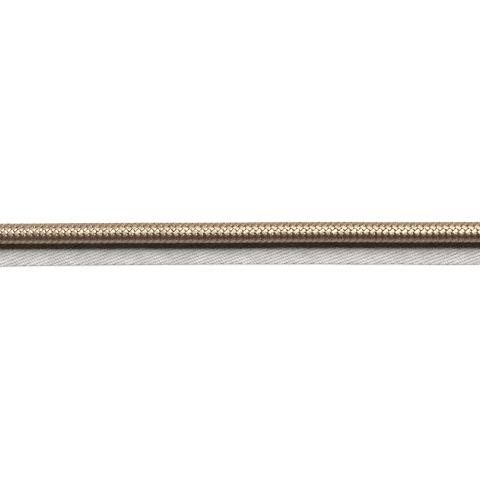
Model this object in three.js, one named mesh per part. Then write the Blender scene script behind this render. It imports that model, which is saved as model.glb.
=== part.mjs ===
// Silk lip cord: a braided silk cord sewn along a twill lip tape, a cut length lying flat.
// Millimetres. X runs along the cord, -Y towards the lip, +Z up from the surface it lies on.
// The origin is on the tape's underside, below the cord, at the middle of the length.

import * as THREE from "three";

// The braid: two sets of flat silk bundles that wind opposite ways, each over two and under two.
const BUNDLES = 24; // both sets together, and so the rows of crossings round the cord
const BRAID_REPEAT = 1.59; // along the cord, from one float to the next of a row
const REPEATS = 80;
const FIRST_ROW_TILT = THREE.MathUtils.degToRad(22.5); // from straight up towards +Y
const FLOAT_RELIEF = 0.22; // from a crossing's crown down to the hollow between crossings

// The whole length, and how the two pieces lie on each other.
const LENGTH = REPEATS * BRAID_REPEAT;
const CORD_RADIUS = 2.5;
const CORD_GAP = 0.3; // between the cord and the tape below it

// The tape's section.
const TAPE_THICKNESS = 1.0;
const SEAM_THICKNESS = 0.8; // under the cord, where the seam draws the tape in
const INNER_EDGE = 1.8; // hidden under the cord
const SEAM_SHOULDER = 1.5; // half the width of the drawn-in strip
const LIP_SHOULDER = -2.75; // the flat top of the lip starts here
const EDGE_BEVEL = 0.25;
const LIP_BEVEL = 0.3;

// The cord's centre line and radius, as unevenly as it lies.
const CORD_ROUTE = [
  { x: -LENGTH / 2, y: -0.35, radius: 2.46 },
  { x: -56, y: -0.32, radius: 2.47 },
  { x: -48, y: -0.28, radius: 2.48 },
  { x: -40, y: -0.22, radius: 2.49 },
  { x: -32, y: -0.17, radius: 2.5 },
  { x: -24, y: -0.14, radius: 2.5 },
  { x: -16, y: -0.13, radius: 2.5 },
  { x: -8, y: -0.12, radius: 2.5 },
  { x: 0, y: -0.08, radius: 2.5 },
  { x: 8, y: 0.01, radius: 2.5 },
  { x: 16, y: 0.05, radius: 2.5 },
  { x: 24, y: 0.06, radius: 2.5 },
  { x: 32, y: 0.05, radius: 2.5 },
  { x: 40, y: 0.0, radius: 2.5 },
  { x: 48, y: 0.03, radius: 2.5 },
  { x: 56, y: 0.05, radius: 2.5 },
  { x: LENGTH / 2, y: 0.06, radius: 2.5 },
];

// The lip's outer edge, as unevenly as it lies.
const LIP_EDGE = [
  { x: -LENGTH / 2, y: -8.68 },
  { x: -56, y: -8.54 },
  { x: -50, y: -8.41 },
  { x: -40, y: -8.36 },
  { x: -30, y: -8.24 },
  { x: -20, y: -8.17 },
  { x: -10, y: -8.1 },
  { x: 0, y: -8.06 },
  { x: 10, y: -8.06 },
  { x: 20, y: -8.02 },
  { x: 30, y: -8.12 },
  { x: 40, y: -8.06 },
  { x: 50, y: -8.2 },
  { x: 57, y: -8.16 },
  { x: LENGTH / 2, y: -8.1 },
];

const CORD_CENTRE_HEIGHT = SEAM_THICKNESS + CORD_GAP + CORD_RADIUS;
const TAPE_STEPS = 32; // sections along the tape

/** The value of one column of a table at x, read along straight lines between its rows. */
function tableValue(table, column, x) {
  let row = 1;
  while (row < table.length - 1 && table[row].x < x) {
    row += 1;
  }
  const from = table[row - 1];
  const to = table[row];
  const share = (x - from.x) / (to.x - from.x);
  return THREE.MathUtils.lerp(from[column], to[column], share);
}

/**
 * A closed solid through rings of equally many points, each ring running left-handed about +X.
 * foldRises says whether the face from that ring and side folds from this ring's own point up to
 * the next ring's next point, and not the other way.
 */
function loftedSolid(rings, foldRises = () => false) {
  const sides = rings[0].length;
  const positions = rings.flat().flatMap((point) => point.toArray());
  const triangles = [];
  for (let ring = 0; ring < rings.length - 1; ring += 1) {
    for (let side = 0; side < sides; side += 1) {
      const a = ring * sides + side;
      const b = ring * sides + ((side + 1) % sides);
      if (foldRises(ring, side)) {
        triangles.push(a, a + sides, b + sides, a, b + sides, b);
      } else {
        triangles.push(a, a + sides, b, b, a + sides, b + sides);
      }
    }
  }
  const lastRing = (rings.length - 1) * sides;
  for (let side = 1; side < sides - 1; side += 1) {
    triangles.push(0, side, side + 1);
    triangles.push(lastRing, lastRing + side + 1, lastRing + side);
  }
  const geometry = new THREE.BufferGeometry();
  geometry.setAttribute("position", new THREE.Float32BufferAttribute(positions, 3));
  geometry.setIndex(triangles);
  geometry.computeVertexNormals();
  return geometry;
}

/** Crossings of the two sets lie on every other point of the braid's grid of steps and rows. */
function isCrossing(step, row) {
  return (step + row) % 2 === 1;
}

/**
 * Rows 0 and 1 of each four are crossed by floats that fall towards -Y, rows 2 and 3 by floats
 * that rise. A face folds along its float, or between two rows of floats along the hollows.
 */
function braidFoldRises(step, row) {
  const isBetweenFloatRows = row % 2 === 1;
  return isBetweenFloatRows ? !isCrossing(step, row) : row % 4 === 2;
}

/** One ring of the cord: crossings of the two sets stand out, the corners between them lie back. */
function braidRing(step) {
  const x = -LENGTH / 2 + (step * BRAID_REPEAT) / 2;
  const centreY = tableValue(CORD_ROUTE, "y", x);
  const crownRadius = tableValue(CORD_ROUTE, "radius", x);
  const ring = [];
  for (let row = 0; row < BUNDLES; row += 1) {
    const tilt = FIRST_ROW_TILT + (row * 2 * Math.PI) / BUNDLES;
    const radius = isCrossing(step, row) ? crownRadius : crownRadius - FLOAT_RELIEF;
    const y = centreY + radius * Math.sin(tilt);
    const z = CORD_CENTRE_HEIGHT + radius * Math.cos(tilt);
    ring.push(new THREE.Vector3(x, y, z));
  }
  return ring;
}

function braidedCord() {
  const rings = [];
  for (let step = 0; step <= 2 * REPEATS; step += 1) {
    rings.push(braidRing(step));
  }
  const silk = new THREE.MeshStandardMaterial({ color: 0xb08d6d, roughness: 0.45, metalness: 0 });
  const mesh = new THREE.Mesh(loftedSolid(rings, braidFoldRises), silk);
  mesh.name = "braided_cord";
  return mesh;
}

/** One section of the tape: flat below, flat on the lip, drawn in along the seam below the cord. */
function tapeSection(step) {
  const x = -LENGTH / 2 + (step * LENGTH) / TAPE_STEPS;
  const lipY = tableValue(LIP_EDGE, "y", x);
  const seamY = tableValue(CORD_ROUTE, "y", x);
  const outline = [
    [lipY + EDGE_BEVEL, 0],
    [lipY, TAPE_THICKNESS / 2],
    [lipY + LIP_BEVEL, TAPE_THICKNESS],
    [LIP_SHOULDER, TAPE_THICKNESS],
    [seamY - SEAM_SHOULDER, SEAM_THICKNESS],
    [seamY + SEAM_SHOULDER, SEAM_THICKNESS],
    [seamY + INNER_EDGE, TAPE_THICKNESS / 2],
    [seamY + INNER_EDGE - EDGE_BEVEL, 0],
  ];
  return outline.map(([y, z]) => new THREE.Vector3(x, y, z));
}

function lipTape() {
  const sections = [];
  for (let step = 0; step <= TAPE_STEPS; step += 1) {
    sections.push(tapeSection(step));
  }
  const cotton = new THREE.MeshStandardMaterial({ color: 0xd6d3ce, roughness: 0.9, metalness: 0 });
  const mesh = new THREE.Mesh(loftedSolid(sections), cotton);
  mesh.name = "lip_tape";
  return mesh;
}

const group = new THREE.Group();
group.add(braidedCord(), lipTape());

export default group;
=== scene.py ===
import math

import bpy
import numpy as np
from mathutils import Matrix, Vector


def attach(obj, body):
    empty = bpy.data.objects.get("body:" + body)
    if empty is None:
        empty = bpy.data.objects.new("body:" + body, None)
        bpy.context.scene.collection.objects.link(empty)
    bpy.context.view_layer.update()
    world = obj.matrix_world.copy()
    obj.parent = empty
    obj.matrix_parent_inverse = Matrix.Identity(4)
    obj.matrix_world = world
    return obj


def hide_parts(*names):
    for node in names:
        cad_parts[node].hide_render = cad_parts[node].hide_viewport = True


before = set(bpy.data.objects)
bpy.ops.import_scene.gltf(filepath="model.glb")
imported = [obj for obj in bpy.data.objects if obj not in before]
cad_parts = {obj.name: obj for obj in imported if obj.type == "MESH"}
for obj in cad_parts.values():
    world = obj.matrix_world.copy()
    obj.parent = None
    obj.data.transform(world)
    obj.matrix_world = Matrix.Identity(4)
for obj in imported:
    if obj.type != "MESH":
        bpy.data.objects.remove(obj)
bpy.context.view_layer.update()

MM = 0.001

# Lengths are in millimetres and colours are linear, unless a comment says otherwise.
# X runs along the cord, -Y towards the lip, and +Z up from the surface the cord lies on.

# The cut length and its braid, as the solids have them.
BUNDLES = 24  # both sets together, and so the rows of crossings round the cord
BRAID_REPEAT = 1.59  # along the cord, from one float to the next of a row
REPEATS = 80
FLOAT_REPEAT = 4  # rows, from one float of a bundle to its next
FALLING_ROW = 0.5  # where the first float of the falling set has its middle
RISING_ROW = 2.5
FIRST_ROW_TILT = math.radians(22.5)  # from straight up towards +Y
ROW_TURN = 2 * math.pi / BUNDLES
STEP = BRAID_REPEAT / 2  # along the cord, while a bundle winds on by one row
STEPS = 2 * REPEATS
LENGTH = REPEATS * BRAID_REPEAT
CORD_CENTRE_HEIGHT = 3.6
TAPE_THICKNESS = 1.0
SEAM_THICKNESS = 0.8  # under the cord, where the seam draws the tape in
SEAM_SHOULDER = 1.5  # half the width of the drawn-in strip
INNER_EDGE = 1.8  # hidden under the cord
LIP_SHOULDER = -2.75  # the flat top of the lip starts here

# x, y and radius of the cord: the route of the solid.
CORD_ROUTE = [
    (-LENGTH / 2, -0.35, 2.46),
    (-56, -0.32, 2.47),
    (-48, -0.28, 2.48),
    (-40, -0.22, 2.49),
    (-32, -0.17, 2.5),
    (-24, -0.14, 2.5),
    (-16, -0.13, 2.5),
    (-8, -0.12, 2.5),
    (0, -0.08, 2.5),
    (8, 0.01, 2.5),
    (16, 0.05, 2.5),
    (24, 0.06, 2.5),
    (32, 0.05, 2.5),
    (40, 0.0, 2.5),
    (48, 0.03, 2.5),
    (56, 0.05, 2.5),
    (LENGTH / 2, 0.06, 2.5),
]

# x and y of the lip's outer edge.
LIP_EDGE = [
    (-LENGTH / 2, -8.68),
    (-56, -8.54),
    (-50, -8.41),
    (-40, -8.36),
    (-30, -8.24),
    (-20, -8.17),
    (-10, -8.1),
    (0, -8.06),
    (10, -8.06),
    (20, -8.02),
    (30, -8.12),
    (40, -8.06),
    (50, -8.2),
    (57, -8.16),
    (LENGTH / 2, -8.1),
]

# The silk bundles.
BUNDLE_WIDTH = 1.04
BUNDLE_THICKNESS = 0.44
FLOAT_SWELL = 0.05  # of the floats' backs past the crowns of the solid
BUNDLE_LIFT = 0.26  # how far a bundle rises and falls from its middle way
DIVE_START = 0.86  # in rows from a float's middle
DIVE_END = 1.16
CUT_STEPS = 2.5  # how far a bundle runs past both ends before it is cut off
LEAN = math.radians(2.5)  # of each float, towards +Y on the top of the cord
FLAT_TURN = math.radians(19)  # how far round the cord a float stays flat, from its middle
FLAT_CROSSING = 0.3  # of that turn, where the flat face crosses the round of the cord
ENDS_IN_BUNDLE = 4
END_GROOVE = 0.065

# A bundle's sections along each float, in rows from its middle.
SECTIONS = (-2, -1.4, -1.16, -1.06, -0.96, -0.86, -0.45, 0, 0.45, 0.86, 0.96, 1.06, 1.16, 1.4)

# A bundle's outline: places across it from -1 to 1, over its back and then along its underside.
BUNDLE_BACK = (-1, -0.92, -0.7, -0.5, -0.25, 0, 0.25, 0.5, 0.7, 0.92, 1)
BUNDLE_UNDERSIDE = (0.5, -0.5)
BACK_POWER = 4.5  # 2 would make a round back, and more makes a flat one with round edges
UNDERSIDE_HEIGHT = -0.7  # in half thicknesses

# How unevenly a bundle is braided: how much it wavers, and the shortest wave in steps.
LIFT_WAVER = (0.05, 3)
WIDTH_WAVER = (0.05, 4)
SIDE_WAVER = (0.03, 5)
LEAN_WAVER = (math.radians(1), 5)
SEEDS_PER_BUNDLE = 100
RISING_SEED = 7
NOISE_WAVES = 5
LONGEST_WAVE = 4  # in shortest waves

# Circles of yarns inside the braid: the circle's radius and how many yarns lie on it.
CORE_CIRCLES = [(0, 1), (0.62, 6), (1.2, 12)]
CORE_YARN_RADIUS = 0.31
CORE_YARN_SIDES = 10
CORE_SECTIONS = 41
CORE_TWIST = 0.12  # radians a millimetre

# The seam thread, with its turning points as y and z from the line below the cord's centre.
STITCHES = 78
SECTIONS_PER_STITCH = 12
SEAM_INSET = 1.0  # from both ends
STITCH_IN_TAPE = (-1.85, 0.66)
STITCH_IN_CORD = (-1.35, 1.72)
THREAD_RADIUS = 0.1
THREAD_SIDES = 6

# The twill: each warp goes over two picks and dives below the third.
PICKS = 168
POINTS_PER_PICK = 4
TWILL_REPEAT = 3
LIP_WIDTH = 5.6
HIDDEN_WIDTH = 4.4  # of the rest of the tape, up to its edge under the cord
WARP_PITCH_AT_LIP_EDGE = 0.2
WARP_PITCH_AT_CORD = 0.27
WARP_POINTS = (0.0, 0.28, 0.72)  # across each warp
PICK_SLANT_AT_LIP_EDGE = 0.91
PICK_SLANT_AT_CORD = 0.29

# The twill's relief.
YARN_RISE_AT_LIP_EDGE = 0.11
YARN_RISE_AT_CORD = 0.27
WARP_DIVE = 0.55  # in picks, how long a warp takes to dive
WARP_CROWN = 0.08
WEFT_CROWN = 0.06
WEFT_DEPTH = 0.12  # of the picks below the warps
RIB_AT_LIP_EDGE = 0.15
RIB_AT_CORD = 0.05
LIP_SINK = 0.24  # of the lip's relief into the tape's thickness
EDGE_ROUND = 0.12
EDGE_DROP = 0.4
WARP_SEED = 5
WARP_UNEVENNESS = 0.012
YARN_SEED = 6
YARN_WAVER = (0.015, 1.5)  # how much the yarns waver, and the shortest wave in picks
YARN_SHIFT = 3.7  # picks, so that no two warps waver alike

# The rest of the tape's section, from under the cord to the lip: the share of the way from the
# lip's outer edge, the height, and how far the weft's loops stand out there.
TAPE_UNDERSIDE = [
    (0.995, 0.2, 0),
    (0.97, 0.02, 0),
    (0.5, 0.02, 0),
    (0.03, 0.02, 0),
    (0.0, 0.14, 0.05),
    (0.0, 0.38, 0.13),
    (0.0, 0.58, 0.08),
]
LOOP_INSET = 0.2  # of a loop, how far the hollows between loops lie back

# The grain of the silk, in spots across a bundle and along each millimetre of it.
SILK_FILAMENTS = (26, 1.2, 1)
SILK_PATCHES = (2.5, 1.6, 1)
FILAMENT_SHARE = 0.6
GRAIN_SHIFT = 40  # millimetres, so that no two bundles have the same grain
UV_LAYER = "thread"

# The grain of the cotton and of the cut ends, in spots to a metre.
TWILL_FIBRES = (2200, 9000, 4000)
TWILL_PATCHES = (260, 500, 300)
END_FIBRES = (9000, 9000, 9000)
FIBRE_RELIEF = 0.03

# Colours by grain: each stop is a value of the grain and its colour.
SILK_COLORS = [
    (0.36, (0.022, 0.008, 0.002)),
    (0.5, (0.071, 0.029, 0.008)),
    (0.64, (0.143, 0.06, 0.02)),
]
SILK_END_COLORS = [(0.35, (0.06, 0.03, 0.014)), (0.6, (0.3, 0.17, 0.09))]
TWILL_COLORS = [(0.3, (0.52, 0.51, 0.495)), (0.7, (0.62, 0.61, 0.595))]
TAPE_END_COLORS = [(0.35, (0.36, 0.35, 0.33)), (0.6, (0.66, 0.64, 0.61))]

# Plain colours.
SILK_GLOSS_COLOR = (1, 0.8, 0.615)
THREAD_COLOR = (0.5, 0.47, 0.43)
FLOOR_COLOR = (0.25, 0.25, 0.25)
FLOOR_GLOW_COLOR = (1, 0.985, 0.965)
ROOM_COLOR = (1, 0.72, 0.44)
BACKDROP_COLOR = (1, 1, 1)

# The camera of the photograph.
PHOTO_WIDTH = 120.6
PHOTO_CENTRE = (-0.2, -1.97)  # x and y
LENS = 180
SENSOR = 36

# The studio.
FLOOR_HALF = 6  # metres
FLOOR_GLOW = 0.84
ROOM_LIGHT = 0.055

# Soft boxes: name, tilt from straight up towards +Y in degrees, distance and size in metres, watts.
SOFT_BOXES = [
    ("softbox", 34.6, 1.0, (0.9, 0.44), 12),
    ("softbox_middle", 27.6, 0.99, (0.5, 0.16), 3.4),
]


# Values

def between(start, end, share):
    """The value at a share of the way from start to end."""
    return start + share * (end - start)


def table_value(table, column, x):
    """The value of one column of a table at x, read along straight lines between its rows."""
    return np.interp(x, [row[0] for row in table], [row[column] for row in table])


def centre_y(x):
    return table_value(CORD_ROUTE, 1, x)


def crown_radius(x):
    return table_value(CORD_ROUTE, 2, x)


def lip_edge_y(x):
    return table_value(LIP_EDGE, 1, x)


def slow_noise(x, seed, amplitude, shortest):
    """A smooth uneven line: a few sines of random length and phase, in the units of x."""
    rng = np.random.default_rng(seed)
    total = np.zeros_like(x, dtype=float)
    for _ in range(NOISE_WAVES):
        wave_length = shortest * rng.uniform(1, LONGEST_WAVE)
        total += np.sin(2 * math.pi * (x / wave_length + rng.random()))
    return amplitude * total / math.sqrt(NOISE_WAVES)


# Meshes

def loft_faces(rings, sides, first_vertex):
    """Quads between rings of equally many points, and one flat face on each end."""
    ring = np.arange(rings - 1)[:, None] * sides
    side = np.arange(sides)[None, :]
    after = (side + 1) % sides
    quads = np.stack([ring + side, ring + after, ring + sides + after, ring + sides + side], axis=2)
    quads = (quads.reshape(-1, 4) + first_vertex).tolist()
    start_cap = list(range(first_vertex, first_vertex + sides))[::-1]
    last = first_vertex + (rings - 1) * sides
    return quads + [start_cap, list(range(last, last + sides))]


def set_uvs(mesh, vertex_uvs):
    """Gives each corner of a face the place in the grain that its vertex has."""
    layer = mesh.uv_layers.new(name=UV_LAYER)
    corners = np.empty(len(mesh.loops), dtype=np.int32)
    mesh.loops.foreach_get("vertex_index", corners)
    layer.data.foreach_set("uv", vertex_uvs[corners].ravel())


def lofted_object(name, lofts, material, uvs=None, end_material=None):
    """One object from several lofts. Each loft is an array of rings by points by x, y and z."""
    vertices, faces = [], []
    for loft in lofts:
        faces += loft_faces(loft.shape[0], loft.shape[1], sum(len(part) for part in vertices))
        vertices.append(loft.reshape(-1, 3) * MM)
    mesh = bpy.data.meshes.new(name)
    mesh.from_pydata(np.concatenate(vertices).tolist(), [], faces)
    is_end = [len(face) > 4 for face in faces]  # all other faces have four corners
    mesh.polygons.foreach_set("use_smooth", [not end for end in is_end])
    if uvs is not None:
        set_uvs(mesh, np.concatenate([uv.reshape(-1, 2) for uv in uvs]))
    mesh.materials.append(material)
    if end_material is not None:
        mesh.materials.append(end_material)
        mesh.polygons.foreach_set("material_index", [int(end) for end in is_end])
    obj = bpy.data.objects.new(name, mesh)
    bpy.context.scene.collection.objects.link(obj)
    return obj


def tube(path, radius, sides):
    """Round rings across a path that runs mostly along X."""
    ahead = np.gradient(path, axis=0)
    ahead /= np.linalg.norm(ahead, axis=1)[:, None]
    side = np.cross(ahead, [0, 0, 1])
    side /= np.linalg.norm(side, axis=1)[:, None]
    up = np.cross(side, ahead)
    turn = -np.linspace(0, 2 * math.pi, sides, endpoint=False)[None, :, None]
    return path[:, None, :] + radius * (np.cos(turn) * side[:, None, :] + np.sin(turn) * up[:, None, :])


# Materials

def new_material(name, sockets):
    """A material, its node tree and its shader, whose own sockets have the given values."""
    material = bpy.data.materials.new(name)
    material.use_nodes = True
    shader = material.node_tree.nodes["Principled BSDF"]
    for socket, value in sockets.items():
        shader.inputs[socket].default_value = value
    return material, material.node_tree, shader


def stretched_noise(tree, vector, scale, detail):
    """A noise texture on vector, stretched by scale."""
    mapping = tree.nodes.new("ShaderNodeMapping")
    mapping.inputs["Scale"].default_value = scale
    tree.links.new(vector, mapping.inputs["Vector"])
    noise = tree.nodes.new("ShaderNodeTexNoise")
    noise.inputs["Scale"].default_value = 1
    noise.inputs["Detail"].default_value = detail
    tree.links.new(mapping.outputs["Vector"], noise.inputs["Vector"])
    return noise.outputs["Fac"]


def blended(tree, first, second, first_share):
    """A mix of two values that holds first_share of the first."""
    rest = tree.nodes.new("ShaderNodeMath")
    rest.operation = "MULTIPLY"
    rest.inputs[1].default_value = 1 - first_share
    tree.links.new(second, rest.inputs[0])
    total = tree.nodes.new("ShaderNodeMath")
    total.operation = "MULTIPLY_ADD"
    total.inputs[1].default_value = first_share
    tree.links.new(first, total.inputs[0])
    tree.links.new(rest.outputs["Value"], total.inputs[2])
    return total.outputs["Value"]


def color_by_grain(tree, shader, grain, stops):
    """Colours the surface by its grain. The socket's own value is the middle or lighter stop's."""
    ramp = tree.nodes.new("ShaderNodeValToRGB")
    elements = ramp.color_ramp.elements
    while len(elements) < len(stops):
        elements.new(0.5)
    for element, (position, color) in zip(elements, stops):
        element.position = position
        element.color = (*color, 1)
    shader.inputs["Base Color"].default_value = (*stops[len(stops) // 2][1], 1)
    tree.links.new(grain, ramp.inputs["Fac"])
    tree.links.new(ramp.outputs["Color"], shader.inputs["Base Color"])


def add_bump(tree, shader, height, strength):
    """Fibres too fine for the mesh."""
    bump = tree.nodes.new("ShaderNodeBump")
    bump.inputs["Strength"].default_value = strength
    bump.inputs["Distance"].default_value = FIBRE_RELIEF * MM
    tree.links.new(height, bump.inputs["Height"])
    tree.links.new(bump.outputs["Normal"], shader.inputs["Normal"])


def silk_material():
    """Satin silk: filaments along the bundle, so the gloss spreads across it."""
    sockets = {
        "Roughness": 0.395,
        "Anisotropic": 0.75,
        "IOR": 2.7,
        "Specular IOR Level": 1,
        "Specular Tint": (*SILK_GLOSS_COLOR, 1),
    }
    material, tree, shader = new_material("silk_braid", sockets)
    thread = tree.nodes.new("ShaderNodeUVMap")
    thread.uv_map = UV_LAYER
    filaments = stretched_noise(tree, thread.outputs["UV"], SILK_FILAMENTS, detail=2)
    patches = stretched_noise(tree, thread.outputs["UV"], SILK_PATCHES, detail=1)
    color_by_grain(tree, shader, blended(tree, filaments, patches, FILAMENT_SHARE), SILK_COLORS)
    add_bump(tree, shader, filaments, strength=0.6)
    tangent = tree.nodes.new("ShaderNodeTangent")
    tangent.direction_type = "UV_MAP"
    tangent.uv_map = UV_LAYER
    tree.links.new(tangent.outputs["Tangent"], shader.inputs["Tangent"])
    return material


def yarn_end_material(name, colors):
    """The dull cut ends of a yarn's fibres."""
    material, tree, shader = new_material(name, {"Roughness": 0.85})
    place = tree.nodes.new("ShaderNodeTexCoord").outputs["Object"]
    color_by_grain(tree, shader, stretched_noise(tree, place, END_FIBRES, detail=2), colors)
    return material


def thread_material():
    sockets = {"Base Color": (*THREAD_COLOR, 1), "Roughness": 0.6, "Sheen Weight": 0.2}
    material, _, _ = new_material("seam_thread", sockets)
    return material


def twill_material():
    """Matt cotton, slightly uneven in colour."""
    sockets = {"Roughness": 0.85, "Sheen Weight": 0.15, "Sheen Roughness": 0.5}
    material, tree, shader = new_material("twill_tape", sockets)
    place = tree.nodes.new("ShaderNodeTexCoord").outputs["Object"]
    color_by_grain(tree, shader, stretched_noise(tree, place, TWILL_PATCHES, detail=2), TWILL_COLORS)
    add_bump(tree, shader, stretched_noise(tree, place, TWILL_FIBRES, detail=3), strength=0.4)
    return material


def floor_material():
    """A pale floor with a faint glow of its own, which stands in for light from all around."""
    sockets = {
        "Base Color": (*FLOOR_COLOR, 1),
        "Roughness": 0.8,
        "Emission Color": (*FLOOR_GLOW_COLOR, 1),
        "Emission Strength": FLOOR_GLOW,
    }
    material, _, _ = new_material("floor", sockets)
    return material


# The cord

def round_the_cord(x, radius, tilt):
    """Points at a distance from the cord's centre line, tilted from straight up towards +Y."""
    y = centre_y(x) + radius * np.sin(tilt)
    z = CORD_CENTRE_HEIGHT + radius * np.cos(tilt)
    return np.stack([x, y, z], axis=-1)


def bundle_sections(index, turn):
    """Where a bundle has its sections: in steps along the cord, in rows round it, and in rows from
    the middle of the nearest float."""
    float_row = FALLING_ROW if turn < 0 else RISING_ROW
    start_row = 1 + 2 * index
    floats = float_row + np.arange(-STEPS - FLOAT_REPEAT, STEPS + BUNDLES + FLOAT_REPEAT, FLOAT_REPEAT)
    rows = (floats[:, None] + np.array(SECTIONS)).ravel()
    steps = np.sort(turn * (rows - start_row))
    steps = steps[(steps > -CUT_STEPS) & (steps < STEPS + CUT_STEPS)]
    row = start_row + turn * steps
    from_float = row - float_row
    from_float = from_float - FLOAT_REPEAT * np.round(from_float / FLOAT_REPEAT)
    return steps, row, from_float


def bundle_lift(from_float):
    """How high a bundle lies: 1 on its float, and -1 where it passes under two others."""
    dive = np.clip((np.abs(from_float) - DIVE_START) / (DIVE_END - DIVE_START), 0, 1)
    return 1 - 2 * dive * dive * (3 - 2 * dive)


def bundle_outline():
    """Across a bundle: where each point lies, from -1 to 1, and its height in half thicknesses."""
    back_height = np.sqrt(1 - np.abs(BUNDLE_BACK) ** BACK_POWER)
    underside_height = [UNDERSIDE_HEIGHT] * len(BUNDLE_UNDERSIDE)
    return np.append(BUNDLE_BACK, BUNDLE_UNDERSIDE), np.append(back_height, underside_height)


def end_grooves(across, height):
    """The grooves between the silk ends that lie side by side in a bundle, on its back."""
    grooves = END_GROOVE * (1 - np.abs(np.sin(math.pi * ENDS_IN_BUNDLE * (across + 1) / 2)))
    return np.where(height > 0, grooves, 0)


def flat_stretch(from_float, side_turn, lean):
    """The factor on the radius that makes a float flat and lean instead of following the round."""
    from_middle = np.clip(from_float[:, None] * ROW_TURN + side_turn, -FLAT_TURN, FLAT_TURN)
    return math.cos(FLAT_CROSSING * FLAT_TURN) / np.cos(from_middle - lean[:, None])


def cut_off(points, uv):
    """Ends each line of points along a loft on the planes at both ends of the length."""
    both = np.concatenate([points, uv], axis=2)
    for line in range(both.shape[1]):
        x = both[:, line, 0]
        inside = np.flatnonzero(np.abs(x) < LENGTH / 2)
        for last, beyond in ((inside[0], -1), (inside[-1], 1)):
            outer = last + beyond
            share = (beyond * LENGTH / 2 - x[last]) / (x[outer] - x[last])
            rest = slice(None, last) if beyond < 0 else slice(outer, None)
            both[rest, line] = between(both[last, line], both[outer, line], share)
    return both[:, :, :3], both[:, :, 3:]


def bundle_loft(index, turn):
    """One silk bundle and its grain: turn is -1 where it falls round the cord and 1 where it rises."""
    seed = SEEDS_PER_BUNDLE * index + (RISING_SEED if turn > 0 else 0)
    steps, row, from_float = bundle_sections(index, turn)
    lift = bundle_lift(from_float) + slow_noise(steps, seed + 1, *LIFT_WAVER)
    width = BUNDLE_WIDTH * (1 + slow_noise(steps, seed + 2, *WIDTH_WAVER))
    shift = slow_noise(steps, seed + 3, *SIDE_WAVER)
    lean = LEAN + slow_noise(steps, seed + 4, *LEAN_WAVER)
    x = -LENGTH / 2 + steps * STEP
    radius = crown_radius(x) + FLOAT_SWELL - BUNDLE_THICKNESS / 2 - BUNDLE_LIFT * (1 - lift)
    lead = np.arctan2(radius * ROW_TURN, STEP)
    across, height = bundle_outline()
    side = across * width[:, None] / 2 + shift[:, None]
    side_turn = np.cos(lead)[:, None] * side / radius[:, None]
    middle_radius = radius[:, None] * flat_stretch(from_float, side_turn, lean)
    point_radius = middle_radius + height * BUNDLE_THICKNESS / 2 - end_grooves(across, height)
    point_x = x[:, None] - turn * np.sin(lead)[:, None] * side
    point_tilt = (FIRST_ROW_TILT + row * ROW_TURN)[:, None] + side_turn
    grain_along = steps * STEP / np.cos(lead) + GRAIN_SHIFT * index
    uv = np.stack(np.broadcast_arrays((across + 1) / 2, grain_along[:, None]), axis=2)
    return cut_off(round_the_cord(point_x, point_radius, point_tilt), uv)


def bundle_set(name, turn, material, end_material):
    """All the bundles that wind one way."""
    lofts, uvs = zip(*(bundle_loft(index, turn) for index in range(BUNDLES // 2)))
    return lofted_object(name, lofts, material, uvs, end_material)


def core_yarns(material):
    """The yarns inside the braid, which show only at the cut ends."""
    x = np.linspace(-LENGTH / 2, LENGTH / 2, CORE_SECTIONS)
    lofts = []
    for circle, count in CORE_CIRCLES:
        for yarn in range(count):
            path = round_the_cord(x, circle, 2 * math.pi * yarn / count + CORE_TWIST * x)
            lofts.append(tube(path, CORE_YARN_RADIUS, CORE_YARN_SIDES))
    return lofted_object("core_yarns", lofts, material)


# The seam

def seam_stitches(material):
    """One thread that laces the cord's underside to the tape."""
    half_length = LENGTH / 2 - SEAM_INSET
    x = np.linspace(-half_length, half_length, STITCHES * SECTIONS_PER_STITCH + 1)
    way = (1 - np.cos(2 * math.pi * np.arange(len(x)) / SECTIONS_PER_STITCH)) / 2
    y = centre_y(x) + between(STITCH_IN_TAPE[0], STITCH_IN_CORD[0], way)
    z = between(STITCH_IN_TAPE[1], STITCH_IN_CORD[1], way)
    path = np.stack([x, y, z], axis=1)
    return lofted_object("seam_stitches", [tube(path, THREAD_RADIUS, THREAD_SIDES)], material)


# The tape

def warp_edges():
    """Distances of the warps' edges from the lip's outer edge. The warps widen towards the cord."""
    edges = [0.0]
    while edges[-1] < LIP_WIDTH + HIDDEN_WIDTH:
        share = min(edges[-1] / LIP_WIDTH, 1)
        edges.append(edges[-1] + between(WARP_PITCH_AT_LIP_EDGE, WARP_PITCH_AT_CORD, share))
    return np.array(edges)


def tape_lines():
    """The lines of points along the tape's top: the warp that each lies on, its place across that
    warp from 0 to 1, and its distance from the lip's outer edge."""
    edges = warp_edges()
    warps = len(edges) - 1
    warp = np.repeat(np.arange(warps), len(WARP_POINTS))
    within = np.tile(WARP_POINTS, warps)
    distance = between(edges[warp], edges[warp + 1], within)
    return np.append(warp, warps - 1), np.append(within, 1.0), np.append(distance, edges[-1])


def pick_slant(distance):
    """How far towards -X a pick has moved at a distance from the lip's outer edge."""
    inside = np.minimum(distance, LIP_WIDTH)
    change = (PICK_SLANT_AT_LIP_EDGE - PICK_SLANT_AT_CORD) / (2 * LIP_WIDTH)
    return PICK_SLANT_AT_LIP_EDGE * inside - change * inside**2


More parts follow.
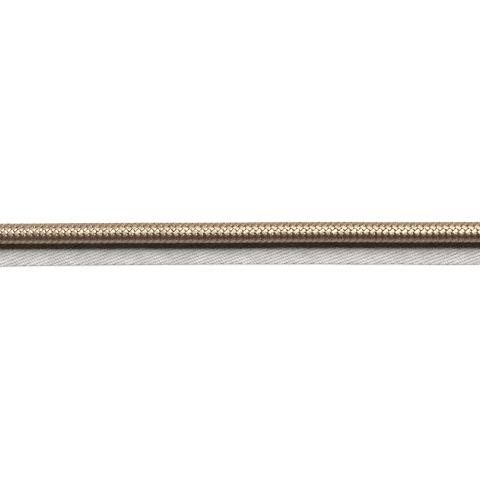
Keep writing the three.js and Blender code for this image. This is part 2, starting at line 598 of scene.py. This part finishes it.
def twill_relief(picks, warp, within, distance):
    """How far the upper yarn of the weave stands out at each point, with the rib of its pick."""
    pick = picks[:, None] + pick_slant(distance) * PICKS / LENGTH
    from_dive = pick - warp
    from_dive = from_dive - TWILL_REPEAT * np.round(from_dive / TWILL_REPEAT)
    inwards = np.clip(distance / LIP_WIDTH, 0, 1)
    rise = 1 - 2 * np.exp(-((from_dive / WARP_DIVE) ** 2))
    rise = rise * between(YARN_RISE_AT_LIP_EDGE, YARN_RISE_AT_CORD, inwards)
    warp_top = rise + WARP_CROWN * (1 - (2 * within - 1) ** 2)
    weft_top = WEFT_CROWN * (1 - (2 * (pick - np.round(pick))) ** 2) - rise - WEFT_DEPTH
    rib = between(RIB_AT_LIP_EDGE, RIB_AT_CORD, inwards) * np.cos(2 * math.pi * pick)
    return np.maximum(warp_top, weft_top) + rib


def uneven_relief(picks, warp):
    """Some warps lie higher than others, and each wavers along its length."""
    heights = np.random.default_rng(WARP_SEED).normal(size=warp[-1] + 1)
    waver = slow_noise(picks[:, None] + YARN_SHIFT * warp, YARN_SEED, *YARN_WAVER)
    return WARP_UNEVENNESS * heights[warp] + waver


def tape_y(x, share):
    """The y of points at shares of the way from the lip's outer edge to the edge under the cord."""
    return between(lip_edge_y(x)[:, None], centre_y(x)[:, None] + INNER_EDGE, share)


def tape_top(x, picks):
    """The twill, drawn in along the seam and rounded off at both edges of the tape."""
    warp, within, distance = tape_lines()
    width = distance[-1]
    y = tape_y(x, distance / width)
    shoulder = centre_y(x)[:, None] - SEAM_SHOULDER
    lip_share = np.clip((shoulder - y) / (shoulder - LIP_SHOULDER), 0, 1)
    level = between(SEAM_THICKNESS, TAPE_THICKNESS - LIP_SINK, lip_share)
    to_edge = np.clip(np.minimum(distance, width - distance) / EDGE_ROUND, 0, 1)
    rounding = EDGE_DROP * (1 - np.sqrt(1 - (1 - to_edge) ** 2))
    relief = twill_relief(picks, warp, within, distance) + uneven_relief(picks, warp)
    return np.stack(np.broadcast_arrays(x[:, None], y, level + relief - rounding), axis=2)


def tape_underside(x, picks):
    """The flat underside, and the lip's edge, where the weft turns back in a loop at each pick."""
    share, height, loop_size = np.array(TAPE_UNDERSIDE).T
    loop = (1 + np.cos(2 * math.pi * picks)) / 2 - LOOP_INSET
    y = tape_y(x, share) - loop_size * loop[:, None]
    return np.stack(np.broadcast_arrays(x[:, None], y, height), axis=2)


def twill_tape(material, end_material):
    """The whole tape: the lip and the strip that is sewn on under the cord."""
    picks = np.linspace(0, PICKS, PICKS * POINTS_PER_PICK + 1)
    x = -LENGTH / 2 + picks * LENGTH / PICKS
    loft = np.concatenate([tape_top(x, picks), tape_underside(x, picks)], axis=1)
    return lofted_object("twill_tape", [loft], material, end_material=end_material)


# The stage

def add_floor():
    half = FLOOR_HALF
    corners = [(-half, -half, 0), (half, -half, 0), (half, half, 0), (-half, half, 0)]
    mesh = bpy.data.meshes.new("floor")
    mesh.from_pydata(corners, [], [(0, 1, 2, 3)])
    mesh.materials.append(floor_material())
    floor = bpy.data.objects.new("floor", mesh)
    bpy.context.scene.collection.objects.link(floor)


def add_camera():
    """Straight above the cord, as far off as fits the photograph's width."""
    data = bpy.data.cameras.new("camera")
    data.lens = LENS
    data.sensor_width = SENSOR
    camera = bpy.data.objects.new("camera", data)
    distance = PHOTO_WIDTH * MM * LENS / SENSOR
    x, y = PHOTO_CENTRE
    camera.location = (x * MM, y * MM, CORD_CENTRE_HEIGHT * MM + distance)
    bpy.context.scene.collection.objects.link(camera)
    bpy.context.scene.camera = camera


def add_soft_box(name, tilt, distance, size, watts):
    """A soft box that faces the origin."""
    data = bpy.data.lights.new(name, "AREA")
    data.shape = "RECTANGLE"
    data.size, data.size_y = size
    data.energy = watts
    light = bpy.data.objects.new(name, data)
    direction = Vector((0, math.sin(math.radians(tilt)), math.cos(math.radians(tilt))))
    light.location = direction * distance
    light.rotation_mode = "QUATERNION"
    light.rotation_quaternion = direction.to_track_quat("Z", "Y")
    bpy.context.scene.collection.objects.link(light)


def add_world():
    """A dim warm room, with white behind the floor where the camera looks past it."""
    world = bpy.data.worlds.new("studio")
    world.use_nodes = True
    nodes, links = world.node_tree.nodes, world.node_tree.links
    room = nodes["Background"]
    room.inputs["Color"].default_value = (*ROOM_COLOR, 1)
    room.inputs["Strength"].default_value = ROOM_LIGHT
    backdrop = nodes.new("ShaderNodeBackground")
    backdrop.inputs["Color"].default_value = (*BACKDROP_COLOR, 1)
    mix = nodes.new("ShaderNodeMixShader")
    links.new(nodes.new("ShaderNodeLightPath").outputs["Is Camera Ray"], mix.inputs["Fac"])
    links.new(room.outputs["Background"], mix.inputs[1])
    links.new(backdrop.outputs["Background"], mix.inputs[2])
    links.new(mix.outputs["Shader"], nodes["World Output"].inputs["Surface"])
    bpy.context.scene.world = world


add_camera()
for soft_box in SOFT_BOXES:
    add_soft_box(*soft_box)
bpy.context.scene.view_settings.view_transform = "Standard"
add_world()
add_floor()

silk = silk_material()
silk_ends = yarn_end_material("silk_ends", SILK_END_COLORS)
tape_ends = yarn_end_material("tape_ends", TAPE_END_COLORS)
falling = bundle_set("bundles_falling", -1, silk, silk_ends)
rising = bundle_set("bundles_rising", 1, silk, silk_ends)
core = core_yarns(silk_ends)
tape = twill_tape(twill_material(), tape_ends)
stitches = seam_stitches(thread_material())

for piece, material_slot, node in (
    (falling, "silk_braid", "braided_cord"),
    (rising, "silk_braid", "braided_cord"),
    (core, "silk_braid", "braided_cord"),
    (tape, "twill_tape", "lip_tape"),
    (stitches, "seam_thread", "lip_tape"),
):
    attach(piece, "root")
    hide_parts(node)
